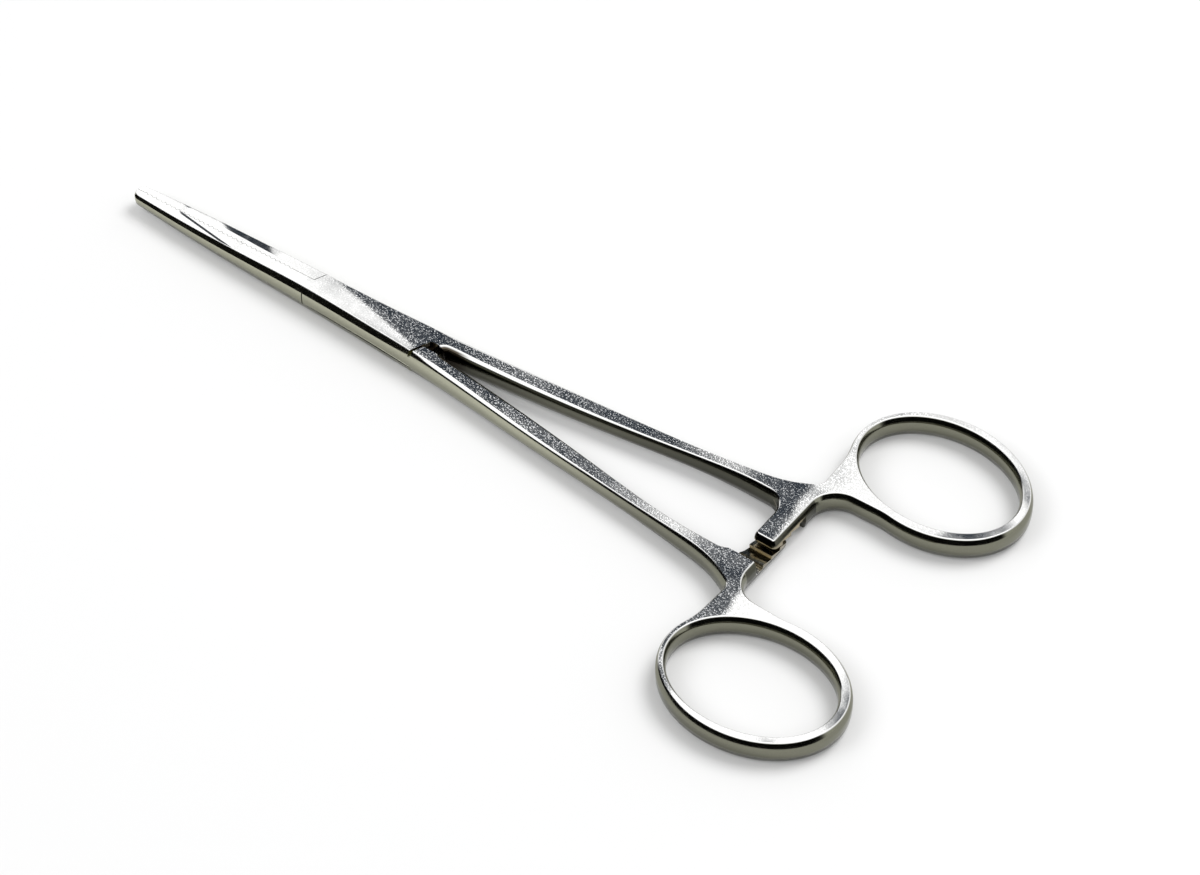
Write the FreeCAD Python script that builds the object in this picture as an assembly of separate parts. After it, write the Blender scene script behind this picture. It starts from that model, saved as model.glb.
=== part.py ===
import FreeCAD, Part
import math
import os

os.makedirs("parts", exist_ok=True)

V = FreeCAD.Vector

# Reach along the instrument, measured from the pivot axis
tip_reach = 44.0
ring_reach = 96.4

# Jaws and box: full widths over both halves, and where each is measured
tip_width = 2.5
tip_nose_flat = 0.2
jaw_waist_x = -34.0
jaw_waist_width = 3.7
jaw_x = -22.0
jaw_width = 4.4
box_front_x = -10.0
box_front_width = 4.85
box_rear_width = 6.85

# Shanks: distance of the centreline from the middle, and width
shank_root_width = 2.95
shank_quarter_x = 28.75
shank_quarter_offset = 3.52
shank_quarter_width = 3.0
shank_mid_x = 45.0
shank_mid_offset = 5.3
shank_mid_width = 2.45
shank_end_back = 8.7
shank_end_offset = 6.95
shank_end_width = 2.3

# Thickness along the instrument, all centred on one middle plane
tip_thickness = 2.0
jaw_thickness = 3.3
box_thickness = 4.4
box_flat_reach = 8.0
shank_waist_x = 46.0
shank_waist_thickness = 2.8
handle_flat_back = 4.5
handle_thickness = 3.85
jaw_pull = 8.0
box_pull = 5.0
waist_pull = 20.0
waist_rise_pull = 10.0
handle_pull = 5.0

# Bevel ground along every long edge
edge_bevel = 0.4

# Box lock: slanted plate edges, the slot through the box and the tongue in it
plate_thickness = 1.15
plate_edge_x = 10.4
plate_edge_slant = 0.44
box_rear_past = 2.1
slot_past = 0.9
shoulder_gap = 0.35
front_gap = 0.12
tongue_side_clearance = 0.04
tongue_end_clearance = 0.1
crotch_radius = 0.6

# Pivot pin, ground flush with both faces of the box
pin_radius = 1.4
pin_running_clearance = 0.03

# Jaw serrations, which mesh when the jaws are closed
serration_pitch = 0.9
serration_depth = 0.3
serration_end_margin = 1.6
serration_box_margin = 3.0
jaw_gap = 0.06

# Finger rings: the opening and the wall round it
ring_offset = 22.2
ring_opening_length = 24.3
ring_opening_width = 17.8
ring_tilt_deg = -4.6
ring_wall_outer = 1.8
ring_wall_inner = 2.05
ring_wall_front = 1.45
ring_wall_end = 1.95

# Neck between shank and ring
neck_back = 2.7
neck_rise = 1.2
neck_end_ahead = 1.7
neck_end_rise = 3.4
shoulder_drop = 3.2
valley_radius = 1.3
notch_radius = 3.8
branch_blend_radius = 12.0
web_lap = 1.0
web_inset = 0.3

# Ratchet arms
ratchet_ahead = 0.9
ratchet_width = 3.7
ratchet_overlap = 1.7
ratchet_corner_radius = 0.5
ratchet_root_radius = 2.8
ratchet_pitch = 2.0
ratchet_tooth_depth = 0.6
ratchet_tooth_count = 3
ratchet_crest_clearance = 0.04
ratchet_crest_land = 0.15
ratchet_root_gap = 1.55

# Tools that cut a piece away reach this far past it, and places nearer than this are one
spare = 1.0
near = 0.01

# Places along the instrument that follow from the sizes above
box_rear_x = plate_edge_x + box_rear_past
ring_x = ring_reach - ring_wall_end - ring_opening_length / 2
ring_front_x = ring_x - ring_opening_length / 2 - ring_wall_front
shank_end_x = ring_front_x - shank_end_back
handle_flat_x = ring_front_x - handle_flat_back
neck_x = ring_front_x - neck_back
neck_end_x = ring_front_x + neck_end_ahead
ratchet_x = ring_front_x + ratchet_ahead
ratchet_left = ratchet_x - ratchet_width / 2
ratchet_right = ratchet_x + ratchet_width / 2

# Places across the instrument
crotch_offset = box_rear_width / 2 - shank_root_width
shank_inner = shank_end_offset - shank_end_width / 2
shank_outer = shank_end_offset + shank_end_width / 2
neck_offset = shank_outer + neck_rise
neck_end_offset = shank_outer + neck_end_rise
ring_inner_y = ring_offset - ring_opening_width / 2 - ring_wall_inner
shoulder_y = ring_offset - shoulder_drop

# Sizes that follow
tip_radius = (tip_width - tip_nose_flat) / 2
slot_radius = plate_edge_x + slot_past
tongue_radius = slot_radius - tongue_end_clearance
half_box = box_thickness / 2
half_slot = half_box - plate_thickness
half_tongue = half_slot - tongue_side_clearance
tall = box_thickness * 2
wide = ring_offset * 2


def prism(points, low, high):
    """Upright prism on a closed polygon of (x, y) corners."""
    corners = [V(x, y, low) for x, y in points]
    wire = Part.makePolygon(corners + corners[:1])
    return Part.Face(wire).extrude(V(0, 0, high - low))


def disc(radius, half_height):
    """Round plate about the pivot axis."""
    return Part.makeCylinder(radius, 2 * half_height, V(0, 0, -half_height))


def line(a, b):
    """Straight edge between two (x, y) points."""
    return Part.makeLine(V(a[0], a[1], 0), V(b[0], b[1], 0))


def spline(points):
    """Smooth edge through (x, y) points in the middle plane."""
    curve = Part.BSplineCurve()
    curve.interpolate([V(x, y, 0) for x, y in points])
    return curve.toShape()


def pulled(points):
    """Smooth edge from the first point to the last, pulled by those between."""
    curve = Part.BezierCurve()
    curve.setPoles([V(x, y, 0) for x, y in points])
    return curve.toShape()


def outer_edge():
    """Outline of jaw, box, shank and neck on the outside, tip first."""
    return [
        (-tip_reach, tip_width / 2),
        (jaw_waist_x, jaw_waist_width / 2),
        (jaw_x, jaw_width / 2),
        (box_front_x, box_front_width / 2),
        (box_rear_x, box_rear_width / 2),
        (shank_quarter_x, shank_quarter_offset + shank_quarter_width / 2),
        (shank_mid_x, shank_mid_offset + shank_mid_width / 2),
        (shank_end_x, shank_outer),
        (neck_x, neck_offset),
        (neck_end_x, neck_end_offset),
    ]


def inner_edge():
    """Outline of the shank on the inside, box first."""
    return [
        (box_rear_x, crotch_offset),
        (shank_quarter_x, shank_quarter_offset - shank_quarter_width / 2),
        (shank_mid_x, shank_mid_offset - shank_mid_width / 2),
        (shank_end_x, shank_inner),
        (ratchet_x, shank_inner),
    ]


def strip():
    """Both jaws and the box with one shank, up to the neck."""
    outer = outer_edge()
    inner = inner_edge()
    front = [(x, -y) for x, y in outer if x <= box_rear_x]
    edges = [
        spline(front),
        line(front[0], outer[0]),
        spline(outer),
        line(outer[-1], inner[-1]),
        spline(inner),
        line(inner[0], front[-1]),
    ]
    face = Part.Face(Part.Wire(Part.__sortEdges__(edges)))
    face.translate(V(0, 0, -tall / 2))
    return face.extrude(V(0, 0, tall))


def neck_web():
    """What joins the shank to both branches of the finger ring."""
    corners = [
        (neck_x, shank_inner + web_lap),
        (ratchet_right, shank_inner + web_lap),
        (ratchet_right, ring_inner_y),
        (ring_x - web_lap, ring_inner_y + web_inset),
        (ring_x - web_lap, shoulder_y),
        (ring_front_x + web_lap, shoulder_y + web_lap),
        (neck_end_x - web_inset, neck_end_offset),
        (neck_x, neck_offset - web_lap),
    ]
    return prism(corners, -tall / 2, tall / 2)


def ratchet_arm():
    """The arm that reaches across to the other half."""
    corners = [
        (ratchet_left, -ratchet_overlap),
        (ratchet_right, -ratchet_overlap),
        (ratchet_right, shank_inner + 2 * web_lap),
        (ratchet_left, shank_inner + 2 * web_lap),
    ]
    return prism(corners, -tall / 2, tall / 2)


def oval(front, end, inner, outer):
    """Upright oval post: the ring's opening, grown by a wall on each side."""
    length = ring_opening_length + front + end
    width = ring_opening_width + inner + outer
    curve = Part.Ellipse(V(0, 0, 0), length / 2, width / 2)
    face = Part.Face(Part.Wire(curve.toShape()))
    face.rotate(V(0, 0, 0), V(0, 0, 1), ring_tilt_deg)
    x = ring_x + (end - front) / 2
    y = ring_offset + (outer - inner) / 2
    face.translate(V(x, y, -tall / 2))
    return face.extrude(V(0, 0, tall))


def upright_edge(shape, x, y):
    """The full-height edge that stands nearest to a place in plan."""
    best = None
    for edge in shape.Edges:
        box = edge.BoundBox
        if box.ZLength < tall - spare:
            continue
        gap = math.hypot(box.Center.x - x, box.Center.y - y)
        if best is None or gap < best[0]:
            best = (gap, edge)
    return best[1]


def plan_blank():
    """One half in plan, its corners rounded and its branches blended."""
    post = oval(ring_wall_front, ring_wall_end, ring_wall_inner, ring_wall_outer)
    blank = strip().fuse([neck_web(), ratchet_arm(), post]).removeSplitter()
    for radius, x, y in [
        (tip_radius, -tip_reach, tip_width / 2),
        (tip_radius, -tip_reach, -tip_width / 2),
        (branch_blend_radius, ring_front_x, shoulder_y),
        (branch_blend_radius, ring_x - 3 * web_lap, ring_inner_y),
        (valley_radius, neck_end_x, neck_end_offset),
        (notch_radius, ratchet_right, ring_inner_y),
        (ratchet_root_radius, ratchet_left, shank_inner),
        (ratchet_corner_radius, ratchet_left, -ratchet_overlap),
        (ratchet_corner_radius, ratchet_right, -ratchet_overlap),
    ]:
        blank = blank.makeFillet(radius, [upright_edge(blank, x, y)])
    return blank.cut(oval(0, 0, 0, 0))


def side_profile():
    """Thickness along the instrument, as a wide slab with a curved top."""
    tip = (-tip_reach - spare, tip_thickness / 2)
    jaw = (jaw_x, jaw_thickness / 2)
    box_a = (-box_flat_reach, half_box)
    box_b = (box_flat_reach, half_box)
    half_waist = shank_waist_thickness / 2
    waist = (shank_waist_x, half_waist)
    half_handle = handle_thickness / 2
    handle_a = (handle_flat_x, half_handle)
    handle_b = (ring_reach + spare, half_handle)
    edges = [
        pulled([tip, jaw, (-box_flat_reach - jaw_pull, half_box), box_a]),
        line(box_a, box_b),
        pulled(
            [
                box_b,
                (box_flat_reach + box_pull, half_box),
                (shank_waist_x - waist_pull, half_waist),
                waist,
            ]
        ),
        pulled(
            [
                waist,
                (shank_waist_x + waist_rise_pull, half_waist),
                (handle_flat_x - handle_pull, half_handle),
                handle_a,
            ]
        ),
        line(handle_a, handle_b),
    ]
    mirrored = [edge.mirror(V(0, 0, 0), V(0, 1, 0)) for edge in edges]
    nose = line((tip[0], -tip[1]), tip)
    tail = line(handle_b, (handle_b[0], -handle_b[1]))
    face = Part.Face(Part.Wire(Part.__sortEdges__(edges + [tail] + mirrored + [nose])))
    face.rotate(V(0, 0, 0), V(1, 0, 0), 90)
    face.translate(V(0, wide, 0))
    return face.extrude(V(0, -2 * wide, 0))


def is_cap(face, point):
    """True where a face looks mostly up or down."""
    u, v = face.Surface.parameter(point)
    normal = face.normalAt(u, v)
    return abs(normal.z) > math.hypot(normal.x, normal.y)


def is_box_end(box):
    """True for the straight end of the box, which is cut away later."""
    return box.XMin > box_rear_x - near and box.XMax < box_rear_x + near


def long_edges(shape):
    """Edges where the outline's walls meet the top and the underside."""
    found = []
    for edge in shape.Edges:
        if is_box_end(edge.BoundBox):
            continue
        middle = edge.valueAt((edge.FirstParameter + edge.LastParameter) / 2)
        caps = [is_cap(face, middle) for face in shape.ancestorsOfType(edge, Part.Face)]
        if sum(caps) == 1 and len(caps) == 2:
            found.append(edge)
    return found


def forged_blank():
    """One half as it is forged and ground, the whole box and both jaws left on."""
    blank = plan_blank().common(side_profile())
    return blank.makeChamfer(edge_bevel, long_edges(blank))


def tooth(index):
    """The sloping notch behind one ratchet crest, or the square one at the root."""
    start = -ratchet_overlap + index * ratchet_pitch
    crest = ratchet_crest_clearance
    root = crest + ratchet_tooth_depth
    if index == ratchet_tooth_count:
        end = start + ratchet_root_gap
        ramp = root
    else:
        end = start + ratchet_pitch - ratchet_crest_land
        ramp = crest
    corners = [V(0, start, 0), V(0, start, root), V(0, end, ramp), V(0, end, 0)]
    face = Part.Face(Part.makePolygon(corners + corners[:1]))
    face.translate(V(ratchet_x - ratchet_width, 0, 0))
    return face.extrude(V(2 * ratchet_width, 0, 0))


def ratchet_gap():
    """What is cut from the underside of a ratchet arm, teeth left standing."""
    step = -ratchet_overlap + ratchet_tooth_count * ratchet_pitch + ratchet_root_gap
    corners = [
        (ratchet_x - ratchet_width, -ratchet_overlap - spare),
        (ratchet_x + ratchet_width, -ratchet_overlap - spare),
        (ratchet_x + ratchet_width, step),
        (ratchet_x - ratchet_width, step),
    ]
    below = prism(corners, -tall, ratchet_crest_clearance)
    return below.fuse([tooth(index) for index in range(ratchet_tooth_count + 1)])


def jaw_face(phase):
    """Points of the serrated meeting face of a jaw, from tip to box."""
    start = -tip_reach + serration_end_margin
    end = -slot_radius - serration_box_margin
    count = int((end - start) / serration_pitch)
    base = -jaw_gap / 2
    swing = phase * serration_depth / 2
    points = [(-tip_reach - spare, base), (start, base)]
    for index in range(count):
        x = start + index * serration_pitch
        points.append((x + serration_pitch / 4, base + swing))
        points.append((x + 3 * serration_pitch / 4, base - swing))
    points.append((start + count * serration_pitch, base))
    return points


def box_half():
    """The half whose two plates make the box, with its jaw, shank and ring."""
    far = box_rear_width
    base = -jaw_gap / 2
    slant = plate_edge_slant
    far_jaw = [
        (-plate_edge_x + slant * base, base),
        (-plate_edge_x + slant * far, far),
        (-tip_reach - spare, far),
    ]
    crotch_x = plate_edge_x + slant * crotch_offset
    far_shank = [
        (plate_edge_x - slant * far, -far),
        (crotch_x, crotch_offset),
        (box_rear_x + spare, crotch_offset),
        (box_rear_x + spare, -far),
    ]
    other_jaw = prism(jaw_face(1) + far_jaw, -tall, tall)
    other_shank = prism(far_shank, -tall, tall)
    corner = upright_edge(other_shank, crotch_x, crotch_offset)
    other_shank = other_shank.makeFillet(crotch_radius, [corner])
    half = forged_blank().cut(ratchet_gap())
    half = half.cut(other_jaw).cut(other_shank)
    half = half.cut(disc(slot_radius, half_slot))
    return half.cut(disc(pin_radius, tall))


def tongue_sides():
    """Plan of what the plates cover, which is cut from both sides of the tongue."""
    far = box_rear_width
    base = -jaw_gap / 2
    slant = plate_edge_slant
    front = plate_edge_x + front_gap
    rear = plate_edge_x + shoulder_gap
    return [
        (-front + slant * far, -far),
        (-front - slant * base, base),
        (-slot_radius - spare, base),
        (-slot_radius - spare, far),
        (rear - slant * far, far),
        (rear - slant * crotch_offset, crotch_offset),
        (box_rear_x + spare, crotch_offset),
        (box_rear_x + spare, -far),
    ]


def tongue_half():
    """The half whose tongue passes through the box, with its jaw, shank and ring."""
    far = box_rear_width
    base = -jaw_gap / 2
    rear = box_rear_x + spare
    far_jaw = [(0, base), (0, far), (-tip_reach - spare, far)]
    far_shank = [(0, -far), (0, crotch_offset), (rear, crotch_offset), (rear, -far)]
    tongue = disc(tongue_radius, tall)
    half = forged_blank().cut(ratchet_gap())
    half = half.cut(prism(jaw_face(-1) + far_jaw, -tall, tall).cut(tongue))
    half = half.cut(prism(far_shank, -tall, tall).cut(tongue))
    half = half.cut(prism(tongue_sides(), half_tongue, tall))
    half = half.cut(prism(tongue_sides(), -tall, -half_tongue))
    half = half.cut(disc(pin_radius + pin_running_clearance, tall))
    half.rotate(V(0, 0, 0), V(1, 0, 0), 180)
    return half


def pivot_pin():
    """Plain pin through both plates and the tongue."""
    return disc(pin_radius, half_box)


for name, make in [("box_half", box_half), ("tongue_half", tongue_half), ("pivot_pin", pivot_pin)]:
    shape = make()
    shape.translate(V(0, 0, half_box))
    print(name, shape.isValid(), len(shape.Solids), round(shape.Volume, 1), len(shape.Faces))
    shape.exportStep("parts/" + name + ".step")
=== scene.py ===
# %% [markdown]
# # Hemostat forceps in polished steel
# A hemostat is two forged steel halves that turn on one flush pin. The frame gives both halves
# with flat walls and plain bevels. A real one is ground by hand on soft wheels, so its flanks are
# gently barrelled and its top faces end in a narrow bright bevel. Those soft forms decide what
# the steel mirrors, so this lesson makes each half again as a swept surface, cuts the lock, the
# ratchet and the serrations into it, and then gives it its finish.

import math

import bmesh
import bpy
import numpy as np
from mathutils import Matrix, Vector
from mathutils.geometry import delaunay_2d_cdt


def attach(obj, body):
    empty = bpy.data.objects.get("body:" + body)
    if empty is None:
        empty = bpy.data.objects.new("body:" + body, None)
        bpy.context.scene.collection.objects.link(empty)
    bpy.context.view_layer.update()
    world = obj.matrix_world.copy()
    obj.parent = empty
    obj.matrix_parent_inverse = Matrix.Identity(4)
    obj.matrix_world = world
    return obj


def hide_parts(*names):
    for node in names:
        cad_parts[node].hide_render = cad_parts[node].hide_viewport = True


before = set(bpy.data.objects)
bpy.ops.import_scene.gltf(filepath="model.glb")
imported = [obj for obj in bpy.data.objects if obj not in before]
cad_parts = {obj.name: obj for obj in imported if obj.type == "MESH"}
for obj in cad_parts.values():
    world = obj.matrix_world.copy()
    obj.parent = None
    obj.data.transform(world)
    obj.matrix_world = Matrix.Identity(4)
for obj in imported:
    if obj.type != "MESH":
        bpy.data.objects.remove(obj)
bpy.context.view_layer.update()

# %% [markdown]
# ## Sizes in millimetres
# The places are those of the frame: x runs along the instrument from the pin, jaws on the
# negative side, y runs across and z stands up. The work is done in millimetres about the middle
# plane of the steel, and put in metres on its feet at the end. What is cut away reaches past the
# steel by a clear distance, so that no cut ends on a face.

# %% Sizes
metre = 0.001

# Jaws and box
tip_x, tip_y = -44.0, 1.25
box_rear_x, box_rear_y = 12.5, 3.425
jaw_gap = 0.06
first_tooth, tooth_pitch, half_tooth = 1.6, 0.9, 0.15
plain_before_slot = 3.0

# Half thicknesses
half_tip, half_box, half_waist, half_ring = 1.0, 2.2, 1.4, 1.925

# Lock: the round slot, the tongue in it, and the pin with its play
slot_radius, half_slot = 11.3, 1.05
tongue_radius, half_tongue = 11.12, 1.01
pin_radius, pin_play = 1.4, 0.03

# The plates end on two lines that cross the middle at plate_x, gain slant in x for each
# millimetre across and run out to plate_reach. The tongue half's edges keep the play from them.
plate_x, plate_reach, slant = 10.4, 6.85, 0.44
crotch_y, crotch_round = 0.475, 0.6
front_play, rear_play = 0.12, 0.45
recess_y, end_bevel = 1.0, 0.32
bevel_reach, bevel_lap = 7.5, 0.3

# Ratchet arm: its two sides and its middle, its end and its root, how far its sides are drawn,
# how far the cut under it goes past them, and then the steps in that cut
arm_left, arm_x, arm_right = 67.75, 69.6, 71.45
arm_end_y, arm_root_y = -1.7, 5.85
arm_front_to, arm_rear_to = 8.5, 12.0
before_arm, behind_arm = 2.95, 0.35
step_count, step_pitch, step_run = 3, 2.0, 1.85
step_z, crest_z, step_floor_z = 0.64, 0.04, -0.2

# Neck and finger ring
shank_inner_y = 5.8
neck_under = [(70.45, 11.22), (83.0, 11.60)]
neck_over = [(69.66, 21.0), (70.15, 10.5)]
ring_middle, ring_length, ring_width = (82.55, 22.075), 27.696, 21.642
opening_middle, opening_length, opening_width = (82.3, 22.2), 24.3, 17.8
ring_tilt, ring_start = -4.6, -145

# Radii of the arcs that join the runs of the outline
tip_round, rear_round, arm_end_round = 1.15, 0.9, 0.7
arm_front_round, arm_rear_round = 2.8, 3.8
ring_round, valley_round = 12.0, 1.3

# How far cutters reach past the steel, in height and in plan
clear, spare = 9.0, 1.0

# Spacing of places along curves, the spacing and the angle of those on arcs, and the least gap
wide_step, short_step, fine_step = 0.5, 0.2, 0.1
arc_step, arc_turn = 0.4, 0.14
least_gap = 0.06

# Places that the outer and the inner long edge run through
outer_places = [
    (tip_x, tip_y),
    (-34.0, 1.85),
    (-22.0, 2.2),
    (-10.0, 2.425),
    (box_rear_x, box_rear_y),
    (28.75, 5.02),
    (45.0, 6.525),
    (60.0, 8.1),
    (66.0, 9.3),
    (70.4, 11.5),
]
inner_places = [
    (box_rear_x, crotch_y),
    (28.75, 2.02),
    (45.0, 4.075),
    (60.0, shank_inner_y),
    (arm_x, shank_inner_y),
]
print("edges through", len(outer_places), "outer and", len(inner_places), "inner places")

# %% [markdown]
# ## Curves in plan
# The outline of one half is a chain of smooth curves, straight runs and ovals, joined by arcs.
# An arc that touches two curves has its centre at its own radius from both, so the curves are
# shifted sideways by that radius and the centre is where the shifted curves cross.


# %% Curve helpers
def smooth_curve(places, step=wide_step):
    """Cubic pieces through the places whose slope and bend run on from one to the next."""
    p = np.array(places, float)
    t = np.concatenate([[0], np.cumsum(np.hypot(*np.diff(p, axis=0).T))])
    n, h = len(p), np.diff(t)
    inner = np.arange(1, n - 1)
    a = np.zeros((n, n))
    a[0, 0] = a[-1, -1] = 1
    a[inner, inner - 1], a[inner, inner + 1] = h[:-1], h[1:]
    a[inner, inner] = 2 * (h[:-1] + h[1:])
    slope = np.diff(p, axis=0) / h[:, None]
    bend = np.zeros((n, 2))
    bend[1:-1] = 6 * np.diff(slope, axis=0)
    m = np.linalg.solve(a, bend)
    s = np.linspace(0, t[-1], int(t[-1] / step) + 2)
    k = np.clip(np.searchsorted(t, s, side="right") - 1, 0, n - 2)
    back, on, run = (t[k + 1] - s)[:, None], (s - t[k])[:, None], h[k][:, None]
    curve = (m[k] * back**3 + m[k + 1] * on**3) / (6 * run)
    curve += (p[k] / run - m[k] * run / 6) * back
    return curve + (p[k + 1] / run - m[k + 1] * run / 6) * on


def straight(a, b, step=wide_step):
    """Evenly spaced places from a to b."""
    a, b = np.array(a, float), np.array(b, float)
    n = max(int(np.linalg.norm(b - a) / step), 6)
    return a + (b - a) * np.linspace(0, 1, n + 1)[:, None]


def oval(centre, length, width, tilt, start, turn, count):
    """Centre plus half length times cosine and half width times sine, turned by the tilt."""
    t = np.radians(start) + np.radians(turn) * np.linspace(0, 1, count)
    x, y = length / 2 * np.cos(t), width / 2 * np.sin(t)
    c, s = math.cos(math.radians(tilt)), math.sin(math.radians(tilt))
    return np.stack([centre[0] + c * x - s * y, centre[1] + s * x + c * y], 1)


# %% Joining curves
def shifted(curve, distance):
    """The curve moved to its left by a distance."""
    run = np.gradient(curve, axis=0)
    run /= np.linalg.norm(run, axis=1)[:, None]
    return curve + distance * np.stack([-run[:, 1], run[:, 0]], 1)


def crossing(a, b, place):
    """Positions along two curves where they cross, the crossing nearest to a place."""
    parallel = 1e-12
    r, s = np.diff(a, axis=0)[:, None], np.diff(b, axis=0)[None]
    w = b[None, :-1] - a[:-1, None]
    den = r[..., 0] * s[..., 1] - r[..., 1] * s[..., 0]
    den = np.where(np.abs(den) < parallel, parallel, den)
    t = (w[..., 0] * s[..., 1] - w[..., 1] * s[..., 0]) / den
    u = (w[..., 0] * r[..., 1] - w[..., 1] * r[..., 0]) / den
    i, j = np.nonzero((t >= 0) & (t < 1) & (u >= 0) & (u < 1))
    at = a[i] + t[i, j][:, None] * (a[i + 1] - a[i])
    k = np.argmin(np.linalg.norm(at - np.array(place), axis=1))
    return i[k] + t[i[k], j[k]], j[k] + u[i[k], j[k]], at[k]


def blended(a, b, radius, place, side):
    """Curve a, an arc that touches both, and curve b. Side 1 rounds a corner, -1 fills one."""
    i, j, centre = crossing(shifted(a, side * radius), shifted(b, side * radius), place)
    start = a[int(i)] + (i - int(i)) * (a[int(i) + 1] - a[int(i)]) - centre
    end = b[int(j)] + (j - int(j)) * (b[int(j) + 1] - b[int(j)]) - centre
    first = math.atan2(start[1], start[0])
    turn = (math.atan2(end[1], end[0]) - first + math.pi) % (2 * math.pi) - math.pi
    n = max(int(abs(turn) * radius / arc_step), int(abs(turn) / arc_turn)) + 2
    t = first + turn * np.linspace(0, 1, n)
    arc = centre + radius * np.stack([np.cos(t), np.sin(t)], 1)
    return np.concatenate([a[: int(i) + 1], arc]), b[int(j) + 1 :]


# %% [markdown]
# ## The outline of one half
# Walked with the steel on the left: the under side of the jaws, the end of the box, the inside of
# the shank, round the ratchet arm, under the neck, round the finger ring, down into the valley
# beside it, and back along the outside to the tip. The opening of the ring is walked the other
# way, which again keeps the steel on the left.


# %% Outline
def half_outline():
    """The chained runs of one half: each row is a run, the radius and rough place of the arc
    that leads into it, and whether that arc rounds a corner (1) or fills one (-1)."""
    front = [(x, -y) for x, y in outer_places if x <= box_rear_x]
    rear = straight((box_rear_x, -box_rear_y), (box_rear_x, crotch_y), short_step)
    arm_front = straight((arm_left, arm_front_to), (arm_left, arm_end_y))
    arm_end = straight((arm_left, arm_end_y), (arm_right, arm_end_y), short_step)
    arm_rear = straight((arm_right, arm_end_y), (arm_right, arm_rear_to))
    ring = oval(ring_middle, ring_length, ring_width, ring_tilt, ring_start, 360, 240)
    tip = straight((tip_x, tip_y), (tip_x, 0.0), short_step)
    chain = [
        (smooth_curve(front), tip_round, (tip_x, -tip_y), 1),
        (rear, rear_round, (box_rear_x, -box_rear_y), 1),
        (smooth_curve(inner_places), rear_round, (box_rear_x, crotch_y), -1),
        (arm_front, arm_front_round, (arm_left, shank_inner_y), -1),
        (arm_end, arm_end_round, (arm_left, arm_end_y), 1),
        (arm_rear, arm_end_round, (arm_right, arm_end_y), 1),
        (straight(*neck_under), arm_rear_round, (arm_right, 11.25), -1),
        (ring, ring_round, (80.0, 11.5), -1),
        (straight(*neck_over), ring_round, (69.8, 17.5), -1),
        (smooth_curve(outer_places[::-1]), valley_round, (70.3, 11.5), -1),
        (tip, tip_round, (tip_x, tip_y), 1),
    ]
    done, last = [], straight((tip_x, 0.0), (tip_x, -tip_y), short_step)
    for curve, radius, place, side in chain:
        kept, last = blended(last, curve, radius, place, side)
        done.append(kept)
    loop = np.concatenate(done + [last[:-1]])
    gap = np.linalg.norm(loop - np.roll(loop, 1, axis=0), axis=1)
    return loop[gap > least_gap]


outline = half_outline()
opening = oval(opening_middle, opening_length, opening_width, ring_tilt, 0, -360, 161)[:-1]
print("outline", len(outline), "places, opening", len(opening))


# %% [markdown]
# ## Thickness and flank
# Seen from the side the steel swells from thin tips to the box, thins along the shank and
# thickens again at the rings. Across, the flank is barrelled: upright in the middle, leaning
# more and more towards the top, then a bevel. The flank profile is given by its lean, and the
# lean is summed up into the distance that the wall has moved in. The shanks have a wider bevel
# than the jaws and the rings, so there are two profiles, and each place takes its share of both.


# %% Thickness and flank
def pull_curve(a, b, c, d, n=60):
    """Smooth run from a to d pulled by b and c."""
    t = np.linspace(0, 1, n)[:, None]
    a, b, c, d = map(np.array, (a, b, c, d))
    return a * (1 - t) ** 3 + 3 * b * t * (1 - t) ** 2 + 3 * c * t**2 * (1 - t) + d * t**3


jaw_side = pull_curve((-45.0, half_tip), (-22.0, 1.65), (-16.0, half_box), (-8.0, half_box))
shank_side = pull_curve((8.0, half_box), (13.0, half_box), (26.0, half_waist), (46.0, half_waist))
grip_side = pull_curve((46.0, half_waist), (56.0, half_waist), (59.2, half_ring), (64.2, half_ring))
side_line = np.concatenate([jaw_side, shank_side, grip_side, [[98.0, half_ring]]])


def half_thickness(x):
    """Half the thickness of the steel at a place along the instrument."""
    return np.interp(x, side_line[:, 0], side_line[:, 1])


lift = np.array([0, 0.2, 0.38, 0.52, 0.62, 0.7, 0.77, 0.83, 0.88, 0.935, 1.0])
levels = np.concatenate([-lift[:0:-1], lift])


def moved_in(lifts, leans):
    """Way that the wall has moved in at each level: the sum of each rise times tan of its lean."""
    lean = np.interp((lift[1:] + lift[:-1]) / 2, lifts, leans)
    return np.concatenate([[0], np.cumsum(np.diff(lift) * np.tan(np.radians(lean)))])


narrow_bevel = moved_in([0, 0.52, 0.75, 0.93, 0.94, 1], [0, 8, 20, 34, 55, 55])
wide_bevel = moved_in([0, 0.52, 0.7, 0.8, 0.81, 1], [0, 8, 20, 32, 55, 55])
wide_share_at, wide_share = [9.0, 14.0, 26.0, 40.0, 66.0], [0, 1, 1, 0.5, 0]
print("flank moves in by", narrow_bevel[-1].round(3), "to", wide_bevel[-1].round(3))


def flank(loop):
    """Wall round a loop, one ring for each level: the loop moved in by the profile times the
    half thickness, at a height of the level times the half thickness."""
    edge = np.roll(loop, -1, axis=0) - loop
    edge /= np.linalg.norm(edge, axis=1)[:, None]
    run = edge + np.roll(edge, 1, axis=0)
    run /= np.linalg.norm(run, axis=1)[:, None]
    inward = np.stack([-run[:, 1], run[:, 0]], 1)
    share = np.interp(loop[:, 0], wide_share_at, wide_share)[None]
    narrow = np.interp(np.abs(levels), lift, narrow_bevel)[:, None]
    wide = np.interp(np.abs(levels), lift, wide_bevel)[:, None]
    depth = (narrow + (wide - narrow) * share) * half_thickness(loop[:, 0])[None]
    plan = loop[None] + inward[None] * depth[:, :, None]
    z = levels[:, None] * half_thickness(plan[..., 0])
    return np.concatenate([plan, z[..., None]], 2)


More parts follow.
